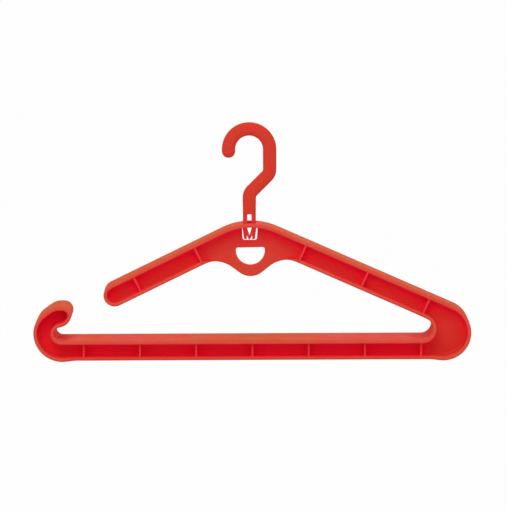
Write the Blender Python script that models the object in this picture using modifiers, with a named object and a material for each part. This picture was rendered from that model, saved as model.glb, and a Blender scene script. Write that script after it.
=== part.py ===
"""Wetsuit hanger: a one-piece moulded frame, and the swivel hook that snaps into it.

Metres, +Z up. The origin is the seat of the rail, at the top of the inside of the hook's arc, and
the hook's stem runs down the Z axis. +X is the closed end of the hanger and -X the open end with the
curl. -Y is the front. Outlines are drawn as (x, z) points in the plane Y = 0.
"""
import math

import bmesh
import bpy
from mathutils import Matrix, Vector

MM = 0.001

# Swivel hook
RAIL_RADIUS = 15.1 * MM            # inside radius of the hook's arc
HOOK_WIDTH = 14.6 * MM             # bar of the hook, seen from the front
HOOK_DEPTH = 12.4 * MM             # the same bar, front to back
HOOK_TAIL = 1.9 * MM               # straight run past the arc, before the round tip
SHANK_DROP = 41.4 * MM             # rail seat to the upper bend of the crank
BEND_RADIUS = 11.0 * MM            # centre line of both bends of the crank
STEM_DIAMETER = 14.2 * MM          # round stem, which stops just above the frame
STEM_BLEND = 9.0 * MM              # length over which the flat bar swells to the round stem
NECK_DIAMETER = 11.0 * MM          # round neck, which turns in the frame's hole
BARB_RADIUS = 7.3 * MM             # stem axis to the outer edge of a leg, under the flange
SNAP_LENGTH = 13.5 * MM            # barb shoulder to the ends of the legs
SNAP_DEPTH = 10.0 * MM             # snap end, front to back
LEG_TAPER = 1.6 * MM               # how much nearer the axis a leg's outer edge is at its end
LEG_END = 1.9 * MM                 # width of a leg's end
SLOT_WIDTH = 4.6 * MM              # slot that lets the two legs spring together
SLOT_RISE = 9.6 * MM               # slot above the top of the frame
VEE_DROP = 2.0 * MM                # barb shoulder to where the slot starts to narrow
VEE_HEIGHT = 8.0 * MM              # height over which the slot narrows to a point
VEE_POINT = 0.8 * MM               # width of the lower point of the V that ties both legs
NOTCH_HEIGHT = 4.4 * MM            # open notch on each side of that point
NOTCH_SHIFT = 0.5 * MM             # top of a notch, outward from the slot's side

# Shoulders, which lean by a degree against the lower bar
CROWN_DROP = 95.4 * MM             # rail seat to the top of the shoulders
CROWN_SHIFT = 0.35 * MM            # crown and lobe, from the stem axis towards the closed end
CROWN_RADIUS = 72.0 * MM
ARM_SLOPE = math.radians(25.0)
SHOULDER_TILT = math.radians(1.0)
ARM_HEIGHT = 24.7 * MM
ARM_DEPTH = 30.0 * MM              # front to back
FREE_ARM_LENGTH = 183.0 * MM       # along the top, from where both arms' tops would meet

# Lobe with the D-shaped hole
LOBE_DROP = 59.8 * MM              # top of the shoulders to the bottom of the lobe
LOBE_RADIUS = 20.0 * MM
LOBE_FLANK = math.radians(38.0)
VALLEY_RADIUS = 34.0 * MM
D_HOLE_WIDTH = 31.6 * MM
D_HOLE_HEIGHT = 19.2 * MM
D_HOLE_DROP = 27.8 * MM            # top of the shoulders to the flat side of the hole
D_HOLE_CORNER = 2.2 * MM

# Lower bar, closed end and curl
BAR_DROP = 223.1 * MM              # rail seat to the top of the bar
BAR_HEIGHT = 23.5 * MM
BAR_DEPTH = 44.0 * MM              # top of the bar and both ends, front to back
BAR_FOOT_DEPTH = 30.0 * MM         # underside of the straight bar, front to back
END_RADIUS = 30.8 * MM
WINDOW_CORNER_RADIUS = 11.5 * MM
CURL_REACH = 206.6 * MM            # stem axis to the centre of the notch under the curl's tip
NOTCH_RADIUS = 7.6 * MM
TIP_UNDER_SLOPE = math.radians(10.0)
TIP_UNDER_RADIUS = 16.5 * MM
TIP_UNDER_TURN = math.radians(51.0)
TIP_NOSE_RADIUS = 9.9 * MM
TIP_TOP_RUN = 3.5 * MM
TIP_BACK_RADIUS = 18.0 * MM
TIP_BACK_SLOPE = math.radians(35.0)
CURL_UPPER_RADIUS = 26.0 * MM
CURL_LOWER_RADIUS = 32.0 * MM

# Walls
FLANGE_THICKNESS = 4.0 * MM
FLANGE_ROUND = 1.3 * MM            # rounding of the flange's long edges
WEB_THICKNESS = 3.0 * MM
RIB_THICKNESS = 2.2 * MM
RIB_INSET = 0.5 * MM               # how far a rib stays behind the flange's edge
ARM_RIB_FIRST = 69.0 * MM          # along an arm, from where both arms' tops would meet
ARM_RIB_PITCH = 74.0 * MM
FREE_ARM_RIBS = 2
CLOSED_ARM_RIBS = 3
BAR_RIB_PITCH = 61.75 * MM
BAR_RIBS = 7

# Where the depth changes
END_FLARE = (190.0 * MM, 221.0 * MM)   # drop below the rail seat over which the closed end widens
FOOT_FLARE = 14.0 * MM                 # length over which the bar's underside widens at each end
RUN_OUT = 13.0 * MM                    # reach of the flange past each arm's first rib, where it fades
RUN_OUT_END = 2.4 * MM                 # half of its depth where it ends
FLARE_STEPS = 4

# Fit of the hook in the frame
NECK_CLEARANCE = 0.35 * MM
SEAT_CLEARANCE = 0.3 * MM          # above and below the flange that the hook turns on
WINDOW_CLEARANCE = 1.5 * MM        # legs to the sides and the bottom of the window in the web
WINDOW_TAPER = 1.7 * MM            # how much nearer the axis a side of the window is at its bottom
WINDOW_CORNER = 3.0 * MM

# Fineness and construction
ARC_STEP = math.radians(9.0)
HOLE_SIDES = 48
STEM_SIDES = 40
TIP_RINGS = 5
TIP_START = math.radians(85.0)
CREASE = math.radians(35.0)
MERGE_GAP = 0.01 * MM
WELD_GAP = 0.05 * MM
CUT_MARGIN = 1.0 * MM
STEM_CORE = 0.97                   # the flat bar's end inside the round stem, as a share of it
STEM_POINT = 0.6                   # the round stem's start inside the flat bar, as a share of it

FRAME_COLOUR = (0.640, 0.022, 0.022, 1.0)
HOOK_COLOUR = (0.650, 0.030, 0.022, 1.0)

HALF_BAR_DEPTH = BAR_DEPTH / 2
HALF_FLANGE = FLANGE_THICKNESS / 2
STEM_RADIUS = STEM_DIAMETER / 2
NECK_RADIUS = NECK_DIAMETER / 2
HOLE_RADIUS = NECK_RADIUS + NECK_CLEARANCE
WINDOW_HALF = BARB_RADIUS + WINDOW_CLEARANCE


def clear_scene():
    for item in list(bpy.data.objects):
        bpy.data.objects.remove(item, do_unlink=True)


def new_collection(name):
    collection = bpy.data.collections.get(name) or bpy.data.collections.new(name)
    if name not in bpy.context.scene.collection.children:
        bpy.context.scene.collection.children.link(collection)
    return collection


def plastic(name, colour, roughness):
    material = bpy.data.materials.new(name)
    material.use_nodes = True
    shader = material.node_tree.nodes["Principled BSDF"]
    shader.inputs["Base Color"].default_value = colour
    shader.inputs["Roughness"].default_value = roughness
    shader.inputs["Metallic"].default_value = 0.0
    return material


# Plane geometry, on (x, z) pairs

def heading_vector(angle):
    return Vector((math.cos(angle), math.sin(angle)))


def cross(a, b):
    return a.x * b.y - a.y * b.x


def meet(point_a, angle_a, point_b, angle_b):
    """Where two lines meet, each given by a point and a heading."""
    a, b = heading_vector(angle_a), heading_vector(angle_b)
    along = cross(point_b - point_a, b) / cross(a, b)
    return point_a + a * along


def arc(centre, radius, start, turn):
    """Points of an arc, from the angle start through turn."""
    steps = max(2, math.ceil(abs(turn) / ARC_STEP))
    return [centre + heading_vector(start + turn * i / steps) * radius for i in range(steps + 1)]


def bend(point, heading, radius, turn):
    """An arc that leaves a point along a heading. A left turn is positive."""
    side = 1 if turn > 0 else -1
    centre = point + heading_vector(heading + side * math.pi / 2) * radius
    return arc(centre, radius, heading - side * math.pi / 2, turn)


def fillet(corner, heading_in, heading_out, radius):
    """The arc that rounds a corner, in the direction of travel."""
    turn = (heading_out - heading_in + math.pi) % (2 * math.pi) - math.pi
    start = corner - heading_vector(heading_in) * radius * math.tan(abs(turn) / 2)
    return bend(start, heading_in, radius, turn)


def offset_left(points, distance):
    """An open run of points, moved to the left of its direction of travel."""
    moved = []
    for i, point in enumerate(points):
        before = points[max(i - 1, 0)]
        after = points[min(i + 1, len(points) - 1)]
        along = (after - before).normalized()
        moved.append(point + Vector((-along.y, along.x)) * distance)
    return moved


def smooth_step(value):
    value = min(max(value, 0.0), 1.0)
    return value * value * (3 - 2 * value)


# Outline of the frame, with the plastic always on the left

def shoulder(x, z):
    """A point of the shoulders, from their own upright frame with its origin on the crown."""
    turned = Matrix.Rotation(SHOULDER_TILT, 2) @ Vector((x, z))
    return turned + Vector((CROWN_SHIFT, -CROWN_DROP))


APEX_RISE = CROWN_RADIUS * (1 / math.cos(ARM_SLOPE) - 1)
APEX = shoulder(0, APEX_RISE)
CLOSED_TOP = math.pi - ARM_SLOPE + SHOULDER_TILT      # heading from the closed end to the crown
FREE_TOP = math.pi + ARM_SLOPE + SHOULDER_TILT        # heading from the crown to the free tip


def arm_point(side, along, down):
    """A point of an arm: side is 1 for the closed arm, -1 for the free one."""
    outward = Vector((side * math.cos(ARM_SLOPE), -math.sin(ARM_SLOPE)))
    inward = Vector((-side * math.sin(ARM_SLOPE), -math.cos(ARM_SLOPE)))
    local = Vector((0, APEX_RISE)) + outward * along + inward * down
    return shoulder(local.x, local.y)


def end_centre():
    """Centre of the closed end, whose circle touches the bar's underside and the arm's top."""
    z = -BAR_DROP - BAR_HEIGHT + END_RADIUS
    inside = APEX + heading_vector(CLOSED_TOP + math.pi / 2) * END_RADIUS
    return meet(inside, CLOSED_TOP, Vector((0, z)), 0.0)


def curl_outline():
    """The notch, the curled tip and the outer bend, from the bar's top round to its underside."""
    turn = TIP_UNDER_SLOPE - math.pi
    points = bend(Vector((-CURL_REACH, -BAR_DROP)), math.pi, NOTCH_RADIUS, turn)
    points += bend(points[-1], TIP_UNDER_SLOPE, TIP_UNDER_RADIUS, TIP_UNDER_TURN)[1:]
    heading = TIP_UNDER_SLOPE + TIP_UNDER_TURN
    points += bend(points[-1], heading, TIP_NOSE_RADIUS, math.pi - heading)[1:]
    points.append(points[-1] + heading_vector(math.pi) * TIP_TOP_RUN)
    points += bend(points[-1], math.pi, TIP_BACK_RADIUS, TIP_BACK_SLOPE)[1:]
    slant = math.pi + TIP_BACK_SLOPE
    bottom = -BAR_DROP - BAR_HEIGHT
    fall = points[-1].y - bottom - CURL_UPPER_RADIUS * math.cos(TIP_BACK_SLOPE) - CURL_LOWER_RADIUS
    points.append(points[-1] + heading_vector(slant) * fall / math.sin(TIP_BACK_SLOPE))
    points += bend(points[-1], slant, CURL_UPPER_RADIUS, math.pi / 2 - TIP_BACK_SLOPE)[1:]
    points += bend(points[-1], 1.5 * math.pi, CURL_LOWER_RADIUS, math.pi / 2)[1:]
    return points


def foot_stations(left, right):
    """Points along the bar's underside, where its depth changes near both ends."""
    z = -BAR_DROP - BAR_HEIGHT
    steps = [FOOT_FLARE * (i + 1) / FLARE_STEPS for i in range(FLARE_STEPS)]
    points = [Vector((left + step, z)) for step in steps]
    return points + [Vector((right - step, z)) for step in reversed(steps)]


def flare_start(start, corner):
    """The point of the closed arm's underside where it begins to widen."""
    along = (-END_FLARE[0] - start.y) / (corner.y - start.y)
    return start + (corner - start) * along


def flanged_outline():
    """The outline that carries the flange: from the closed arm's underside, near the lobe, along the
    window, the curl, the bar's underside, the closed end and the crown, to the free arm's underside.
    """
    start = arm_point(1, ARM_RIB_FIRST, ARM_HEIGHT)
    corner = meet(start, CLOSED_TOP + math.pi, Vector((0, -BAR_DROP)), math.pi)
    points = [start, flare_start(start, corner)]
    points += fillet(corner, CLOSED_TOP + math.pi, math.pi, WINDOW_CORNER_RADIUS)
    points += curl_outline()
    points += foot_stations(points[-1].x, end_centre().x)
    points += arc(end_centre(), END_RADIUS, -math.pi / 2, CLOSED_TOP)
    points += fillet(APEX, CLOSED_TOP, FREE_TOP, CROWN_RADIUS)
    tip_centre = arm_point(-1, FREE_ARM_LENGTH - ARM_HEIGHT / 2, ARM_HEIGHT / 2)
    points += arc(tip_centre, ARM_HEIGHT / 2, FREE_TOP - math.pi / 2, math.pi)
    points.append(arm_point(-1, ARM_RIB_FIRST, ARM_HEIGHT))
    return points


def lobe_outline():
    """The thin lower edge between both first ribs: valley, lobe, valley."""
    centre = Vector((0, LOBE_RADIUS - LOBE_DROP))
    free_heading, closed_heading = ARM_SLOPE, -ARM_SLOPE
    touch = centre + heading_vector(-math.pi / 2 - LOBE_FLANK) * LOBE_RADIUS
    underside = Vector((0, APEX_RISE - ARM_HEIGHT / math.cos(ARM_SLOPE)))
    free_corner = meet(underside, free_heading, touch, -LOBE_FLANK)
    closed_corner = Vector((-free_corner.x, free_corner.y))
    points = fillet(free_corner, free_heading, -LOBE_FLANK, VALLEY_RADIUS)
    points += arc(centre, LOBE_RADIUS, -math.pi / 2 - LOBE_FLANK, 2 * LOBE_FLANK)
    points += fillet(closed_corner, LOBE_FLANK, closed_heading, VALLEY_RADIUS)
    return [shoulder(point.x, point.y) for point in points]


def lobe_runs():
    """The lobe's edge in three runs: the free arm's run-out, the bare edge, the closed arm's run-out."""
    free_rib, closed_rib = (arm_point(side, ARM_RIB_FIRST, ARM_HEIGHT).x for side in (-1, 1))
    points = lobe_outline()
    free = [point for point in points if point.x < free_rib + RUN_OUT]
    closed = [point for point in points if point.x > closed_rib - RUN_OUT]
    bare = points[len(free) - 1:len(points) - len(closed) + 1]
    return free, bare, closed


def flange_path():
    """The flanged outline and both run-outs."""
    free, _, closed = lobe_runs()
    return closed + flanged_outline()[1:-1] + free


def past_first_rib(x):
    """How far a place lies from its arm's first rib, towards the middle."""
    side = 1 if x > 0 else -1
    return abs(arm_point(side, ARM_RIB_FIRST, ARM_HEIGHT).x) - abs(x)


def d_hole_outline():
    half, top = D_HOLE_WIDTH / 2, -D_HOLE_DROP
    centre = Vector((0, top - D_HOLE_HEIGHT + half))
    points = arc(centre, half, math.pi, math.pi)
    points += fillet(Vector((half, top)), math.pi / 2, math.pi, D_HOLE_CORNER)
    points += fillet(Vector((-half, top)), math.pi, 1.5 * math.pi, D_HOLE_CORNER)
    return [shoulder(point.x, point.y) for point in points]


def barb_shoulder():
    """Height of the barbs' bearing face, just under the curved flange at the barbs' reach."""
    inner_radius = CROWN_RADIUS - FLANGE_THICKNESS
    reach = BARB_RADIUS + CROWN_SHIFT
    sag = inner_radius - math.sqrt(inner_radius ** 2 - reach ** 2)
    lean = reach * math.tan(SHOULDER_TILT)
    return -(CROWN_DROP + FLANGE_THICKNESS + sag + lean + SEAT_CLEARANCE)


def window_outline():
    """The see-through window in the web, which the snap end turns in, open up to the flange."""
    top = -CROWN_DROP
    bottom = barb_shoulder() - SNAP_LENGTH - WINDOW_CLEARANCE
    lean = math.atan2(WINDOW_TAPER, top - bottom)
    low_half = WINDOW_HALF - WINDOW_TAPER
    points = [Vector((WINDOW_HALF, top)), Vector((-WINDOW_HALF, top))]
    points += fillet(Vector((-low_half, bottom)), lean - math.pi / 2, 0.0, WINDOW_CORNER)
    points += fillet(Vector((low_half, bottom)), 0.0, math.pi / 2 - lean, WINDOW_CORNER)
    return points


# Blender objects

def add_spline(curve, points, closed, radii=None):
    spline = curve.splines.new("POLY")
    spline.points.add(len(points) - 1)
    for i, (target, point) in enumerate(zip(spline.points, points)):
        target.co = (point[0], point[1], 0.0, 1.0)
        target.radius = radii[i] if radii else 1.0
    spline.use_cyclic_u = closed


def upright_curve(name, collection):
    """A flat curve whose drawing plane stands upright, with its depth along Y."""
    curve = bpy.data.curves.new(name, "CURVE")
    curve.dimensions = "2D"
    item = bpy.data.objects.new(name, curve)
    item.rotation_euler = (math.pi / 2, 0, 0)
    collection.objects.link(item)
    return item


def to_mesh(item, collection):
    """Replaces a curve, or an object with modifiers, by its closed mesh in place."""
    bpy.context.view_layer.update()
    evaluated = item.evaluated_get(bpy.context.evaluated_depsgraph_get())
    mesh = bpy.data.meshes.new_from_object(evaluated)
    name, place = item.name, item.matrix_world.copy()
    bpy.data.objects.remove(item, do_unlink=True)
    mesh.transform(place)
    solid = bmesh.new()
    solid.from_mesh(mesh)
    bmesh.ops.remove_doubles(solid, verts=solid.verts, dist=MERGE_GAP)
    bmesh.ops.recalc_face_normals(solid, faces=solid.faces)
    solid.to_mesh(mesh)
    solid.free()
    mesh.name = name
    made = bpy.data.objects.new(name, mesh)
    collection.objects.link(made)
    return made


def triangulate(item):
    solid = bmesh.new()
    solid.from_mesh(item.data)
    bmesh.ops.triangulate(solid, faces=solid.faces)
    solid.to_mesh(item.data)
    solid.free()


def prism(name, outlines, half_depth, collection):
    """A plate with the given outlines. Those inside the first one are holes."""
    item = upright_curve(name, collection)
    item.data.fill_mode = "BOTH"
    item.data.extrude = half_depth
    for outline in outlines:
        add_spline(item.data, outline, closed=True)
    return to_mesh(item, collection)


def box(name, size, centre, turn, collection):
    """A box, turned about Y, in the plane of the outlines."""
    bpy.ops.mesh.primitive_cube_add(size=1.0)
    item = bpy.context.object
    item.name = name
    place = Matrix.Translation((centre[0], 0, centre[1])) @ Matrix.Rotation(turn, 4, "Y")
    item.data.transform(place @ Matrix.Diagonal((*size, 1.0)))
    for owner in list(item.users_collection):
        owner.objects.unlink(item)
    collection.objects.link(item)
    return item


def combine(target, other, operation, solver="EXACT"):
    modifier = target.modifiers.new(other.name, "BOOLEAN")
    modifier.operation = operation
    modifier.solver = solver
    modifier.object = other
    other.hide_render = True
    other.display_type = "WIRE"


def rounded_section(width, depth, radius):
    """A rectangle with rounded corners, as (across, depth) points."""
    corners = ((1, 1, 0.0), (-1, 1, 0.5), (-1, -1, 1.0), (1, -1, 1.5))
    points = []
    for side, end, start in corners:
        centre = Vector((side * (width / 2 - radius), end * (depth / 2 - radius)))
        points += [centre + heading_vector((start + k / 2) * math.pi) * radius for k in range(2)]
    return points


def depth_at(x, z, foot_left, foot_right):
    """Half of the frame's depth, front to back, at a place of its flange."""
    slim, deep = ARM_DEPTH / 2, HALF_BAR_DEPTH
    if z < -BAR_DROP - BAR_HEIGHT + 1.5 * FLANGE_THICKNESS:
        foot = BAR_FOOT_DEPTH / 2
        past = max(x - (foot_right - FOOT_FLARE), foot_left + FOOT_FLARE - x)
        return foot + (deep - foot) * smooth_step(past / FOOT_FLARE)
    if x < -(CURL_REACH - NOTCH_RADIUS * 2):
        return deep
    if -END_FLARE[0] < z < -CROWN_DROP - D_HOLE_DROP:
        slim += (RUN_OUT_END - slim) * smooth_step(past_first_rib(x) / RUN_OUT)
    start, stop = END_FLARE
    return slim + (deep - slim) * smooth_step((-z - start) / (stop - start))


def make_flange(cutters):
    """The flange: a rounded strip that follows the outline, deeper along the bar and at the ends."""
    section = bpy.data.curves.new("flange_section", "CURVE")
    section.dimensions = "2D"
    section_item = bpy.data.objects.new("flange_section", section)
    cutters.objects.link(section_item)
    add_spline(section, rounded_section(FLANGE_THICKNESS, BAR_DEPTH, FLANGE_ROUND), closed=True)

    strip = upright_curve("flange", cutters)
    strip.data.bevel_mode = "OBJECT"
    strip.data.bevel_object = section_item
    strip.data.use_fill_caps = True
    add_spline(strip.data, offset_left(flange_path(), HALF_FLANGE), closed=False)
    flange = to_mesh(strip, cutters)
    bpy.data.objects.remove(section_item, do_unlink=True)
    foot_left, foot_right = curl_outline()[-1].x, end_centre().x
    for vertex in flange.data.vertices:
        excess = HALF_BAR_DEPTH - depth_at(vertex.co.x, vertex.co.z, foot_left, foot_right)
        vertex.co.y -= math.copysign(excess, vertex.co.y)
    triangulate(flange)
    return flange


def rib_places():
    """Centre, turn and length of each rib."""
    length = ARM_HEIGHT - FLANGE_THICKNESS
    for side, count in ((1, CLOSED_ARM_RIBS), (-1, FREE_ARM_RIBS)):
        turn = side * ARM_SLOPE - SHOULDER_TILT
        for i in range(count):
            along = ARM_RIB_FIRST + i * ARM_RIB_PITCH
            yield arm_point(side, along, ARM_HEIGHT / 2), turn, length
    right = end_centre().x + END_RADIUS
    left = min(point.x for point in curl_outline())
    middle = (left + right) / 2
    for i in range(BAR_RIBS):
        x = middle + (i - (BAR_RIBS - 1) / 2) * BAR_RIB_PITCH
        yield Vector((x, -BAR_DROP - BAR_HEIGHT / 2)), 0.0, BAR_HEIGHT - FLANGE_THICKNESS


def make_frame(parts, cutters):
    _, bare, _ = lobe_runs()
    plate = offset_left(flange_path(), HALF_FLANGE)[1:-1] + bare
    frame = prism("hanger_frame", [plate, d_hole_outline()], WEB_THICKNESS / 2, parts)
    window = prism("web_window", [window_outline()], WEB_THICKNESS, cutters)
    combine(frame, window, "DIFFERENCE", "MANIFOLD")
    combine(frame, make_flange(cutters), "UNION", "MANIFOLD")
    rib_depth = min(ARM_DEPTH, BAR_FOOT_DEPTH) - 2 * RIB_INSET
    for i, (centre, turn, length) in enumerate(rib_places()):
        size = (RIB_THICKNESS, rib_depth, length)
        combine(frame, box(f"rib_{i + 1}", size, centre, turn, cutters), "UNION", "MANIFOLD")

    bpy.ops.mesh.primitive_cylinder_add(
        vertices=HOLE_SIDES, radius=HOLE_RADIUS, depth=4 * FLANGE_THICKNESS,
        location=(0, 0, -CROWN_DROP - HALF_FLANGE))
    hole = bpy.context.object
    hole.name = "stem_hole"
    hole.users_collection[0].objects.unlink(hole)
    cutters.objects.link(hole)
    combine(frame, hole, "DIFFERENCE", "MANIFOLD")
    weld = frame.modifiers.new("weld", "WELD")
    weld.merge_threshold = WELD_GAP
    return frame


def hook_centre_line():
    """Centre line of the hook's bar with its radii, from the round tip down to the stem."""
    reach = RAIL_RADIUS + HOOK_WIDTH / 2
    round_end = HOOK_WIDTH / 2
    points, radii = [], []
    tip_z = -RAIL_RADIUS - HOOK_TAIL
    for i in range(TIP_RINGS):
        angle = TIP_START * (1 - i / TIP_RINGS)
        points.append(Vector((-reach, tip_z - round_end * math.sin(angle))))
        radii.append(math.cos(angle))
    run = [Vector((-reach, tip_z))]
    run += arc(Vector((0, -RAIL_RADIUS)), reach, math.pi, -math.pi)
    down, slant = -0.5 * math.pi, -0.75 * math.pi
    upper = Vector((reach, -SHANK_DROP))
    lower = meet(upper, slant, Vector((0, 0)), down)
    run += fillet(upper, down, slant, BEND_RADIUS)
    run += fillet(lower, slant, down, BEND_RADIUS)
    radii += [1.0] * len(run)
    run.append(Vector((0, run[-1].y - STEM_BLEND)))
    radii.append(STEM_CORE * STEM_DIAMETER / HOOK_WIDTH)
    return points + run, radii


def snap_profile(start):
    """Radius and height down the outer side of the round stem, its neck and its legs."""
    seat = -CROWN_DROP + SEAT_CLEARANCE
    barb = barb_shoulder()
    end = barb - SNAP_LENGTH
    return [
        (0.0, start), (STEM_RADIUS * STEM_POINT, start), (STEM_RADIUS, start - STEM_BLEND),
        (STEM_RADIUS, seat), (NECK_RADIUS, seat), (NECK_RADIUS, barb), (BARB_RADIUS, barb),
        (BARB_RADIUS - LEG_TAPER, end), (0.0, end)]


def snap_openings():
    """The slot with its V-shaped foot, and the two notches that leave an M between the legs."""
    end = barb_shoulder() - SNAP_LENGTH
    half = SLOT_WIDTH / 2
    top = -CROWN_DROP + SLOT_RISE
    vee_top = barb_shoulder() - VEE_DROP
    slot = fillet(Vector((-half, top)), math.pi / 2, 0.0, half / 2)
    slot += fillet(Vector((half, top)), 0.0, -math.pi / 2, half / 2)
    slot += [Vector((half, vee_top)), Vector((0, vee_top - VEE_HEIGHT)), Vector((-half, vee_top))]
    inner_leg = BARB_RADIUS - LEG_TAPER - LEG_END
    low = end - CUT_MARGIN
    notch = [Vector((half + NOTCH_SHIFT, end + NOTCH_HEIGHT)), Vector((VEE_POINT / 2, low)),
             Vector((inner_leg, low))]
    mirrored = [Vector((-point.x, point.y)) for point in reversed(notch)]
    return slot, notch, mirrored


def make_hook(parts, cutters):
    points, radii = hook_centre_line()
    bar = upright_curve("swivel_hook", parts)
    bar.data.bevel_depth = HOOK_WIDTH / 2
    bar.data.bevel_resolution = 4
    bar.data.use_fill_caps = True
    add_spline(bar.data, points, closed=False, radii=radii)
    hook = to_mesh(bar, parts)
    for vertex in hook.data.vertices:
        vertex.co.y *= HOOK_DEPTH / HOOK_WIDTH

    profile = snap_profile(points[-1].y + STEM_BLEND)
    mesh = bpy.data.meshes.new("snap_stem")
    edges = [(i, i + 1) for i in range(len(profile) - 1)]
    mesh.from_pydata([(radius, 0, z) for radius, z in profile], edges, [])
    turned = bpy.data.objects.new("snap_stem", mesh)
    cutters.objects.link(turned)
    screw = turned.modifiers.new("turn", "SCREW")
    screw.steps = STEM_SIDES
    screw.render_steps = STEM_SIDES
    screw.use_merge_vertices = True
    screw.merge_threshold = MERGE_GAP
    stem = to_mesh(turned, cutters)
    combine(hook, stem, "UNION")

    height = 2 * SNAP_LENGTH
    middle = -CROWN_DROP - HALF_FLANGE - height / 2
    for side, name in ((-1, "front_flat"), (1, "back_flat")):
        size = (2 * STEM_DIAMETER, STEM_DIAMETER, height)
        shave = box(name, size, (0, middle), 0.0, cutters)
        shave.data.transform(Matrix.Translation((0, side * (STEM_DIAMETER + SNAP_DEPTH) / 2, 0)))
        combine(hook, shave, "DIFFERENCE")
    for i, outline in enumerate(snap_openings()):
        cut = prism(f"snap_opening_{i + 1}", [outline], STEM_DIAMETER, cutters)
        combine(hook, cut, "DIFFERENCE")
    return hook


def finish(item, material):
    item.data.materials.clear()
    item.data.materials.append(material)
    item.data.shade_smooth()
    item.data.set_sharp_from_angle(angle=CREASE)


def main():
    clear_scene()
    parts = new_collection("wetsuit_hanger")
    cutters = new_collection("wetsuit_hanger_cutters")
    frame = make_frame(parts, cutters)
    hook = make_hook(parts, cutters)
    finish(frame, plastic("frame_plastic", FRAME_COLOUR, 0.38))
    finish(hook, plastic("hook_plastic", HOOK_COLOUR, 0.35))


main()
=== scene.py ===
# %% [markdown]
# # A wetsuit hanger with a swivel hook
# This lesson dresses a plain solid model of a heavy plastic hanger. The real one is two mouldings:
# a ribbed frame with a curled open end, and a hook whose split end snaps into the frame and turns.
# The plain solids arrive first, so that every finer piece can be laid over them in the same place.

# %% Load the plain model
import math

import bmesh
import bpy
from mathutils import Matrix, Vector
from mathutils.bvhtree import BVHTree


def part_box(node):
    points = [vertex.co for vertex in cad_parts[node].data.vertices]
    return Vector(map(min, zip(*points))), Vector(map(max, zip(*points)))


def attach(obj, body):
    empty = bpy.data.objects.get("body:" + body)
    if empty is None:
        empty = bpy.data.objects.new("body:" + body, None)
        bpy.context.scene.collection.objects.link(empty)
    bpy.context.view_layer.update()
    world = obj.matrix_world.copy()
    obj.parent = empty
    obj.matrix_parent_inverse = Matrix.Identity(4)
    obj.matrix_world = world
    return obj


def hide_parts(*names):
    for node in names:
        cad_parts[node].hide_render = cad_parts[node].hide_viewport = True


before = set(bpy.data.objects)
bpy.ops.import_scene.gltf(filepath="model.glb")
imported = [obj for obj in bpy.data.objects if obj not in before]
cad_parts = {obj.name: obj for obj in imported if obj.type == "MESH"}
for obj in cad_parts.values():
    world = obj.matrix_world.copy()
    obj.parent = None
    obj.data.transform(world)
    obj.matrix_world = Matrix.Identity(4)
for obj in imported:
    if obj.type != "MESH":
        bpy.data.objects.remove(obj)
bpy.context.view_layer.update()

for name in sorted(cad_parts):
    low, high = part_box(name)
    print(name, "measures", [round((b - a) * 1000, 1) for a, b in zip(low, high)], "mm")

# %% [markdown]
# ## Sizes
# Everything is in metres. Z = 0 is where the rail touches the inside of the hook, and the hook turns
# about the Z axis. The closed end points to +X, the curl to -X, and the front to -Y. One dictionary
# for each region keeps its sizes together, the way a drawing's table does.

# %% Sizes of both mouldings
MM = 0.001


def mm(**sizes):
    """Named sizes, given in millimetres and kept in metres."""
    return {name: size * MM for name, size in sizes.items()}


BAR = mm(drop=223.1, height=23.5, depth=44.0, foot_depth=30.0, rib_pitch=61.75)
ARM = {
    "slope": math.radians(25.0), "tilt": math.radians(1.0),
    **mm(height=24.7, depth=30.0, free_length=183.0, rib_first=69.0, rib_pitch=74.0)}
RIB_COUNT = {"bar": 7, "closed": 3, "free": 2}
CROWN = mm(drop=95.4, shift=0.35, radius=72.0)
LOBE = {
    "flank": math.radians(38.0), **mm(drop=59.8, radius=20.0, valley=34.0),
    **mm(hole_width=31.6, hole_height=19.2, hole_drop=27.8, hole_corner=2.2)}
ENDS = mm(radius=30.8, window=11.5, flare_top=190.0, flare_bottom=221.0, foot_flare=14.0)
CURL = {
    "under_slope": math.radians(10.0), "under_turn": math.radians(51.0),
    "back_slope": math.radians(35.0), **mm(
        reach=206.6, notch=7.6, under=16.5, nose=9.9, top_run=3.5, back=18.0, upper=26.0, lower=32.0)}
WALL = mm(flange=4.0, web=3.0, rib=2.2, rib_inset=0.5)
HOOK = mm(
    rail=15.1, width=14.6, depth=12.4, tail=1.9, shank=41.4, bend=11.0, stem=14.2, neck=11.0,
    barb=7.7, snap=13.5, snap_depth=10.0, leg_taper=1.6, leg_end=3.0, lip=0.5, slot=4.6,
    slot_rise=9.6, slot_corner=0.6, vee_drop=2.7, vee_height=8.0, vee_point=0.8, notch=4.4,
    notch_shift=0.5)
FIT = mm(neck=0.35, seat=0.15, window=0.75, window_taper=0.5, window_under=1.5, window_corner=2.8)
ARC_STEP = math.radians(3.0)
print("the bar is", round(BAR["height"] / MM, 1), "mm high and", round(BAR["depth"] / MM, 1), "mm deep")

# %% [markdown]
# ## Drawing in a plane
# The frame is an outline made of straight runs and arcs, so the helpers work the way a drafter does:
# a heading, a turn, a fillet between two lines. Points are (x, z) pairs in the upright plane Y = 0.

# %% Helpers for lines and arcs
def toward(angle):
    """A step of length one along a heading."""
    return Vector((math.cos(angle), math.sin(angle)))


def meet(point_a, angle_a, point_b, angle_b):
    """Where two lines meet, each given by a point and a heading."""
    a, b, gap = toward(angle_a), toward(angle_b), point_b - point_a
    return point_a + a * ((gap.x * b.y - gap.y * b.x) / (a.x * b.y - a.y * b.x))


def arc(centre, radius, start, turn):
    steps = max(3, math.ceil(abs(turn) / ARC_STEP))
    return [centre + toward(start + turn * i / steps) * radius for i in range(steps + 1)]


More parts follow.
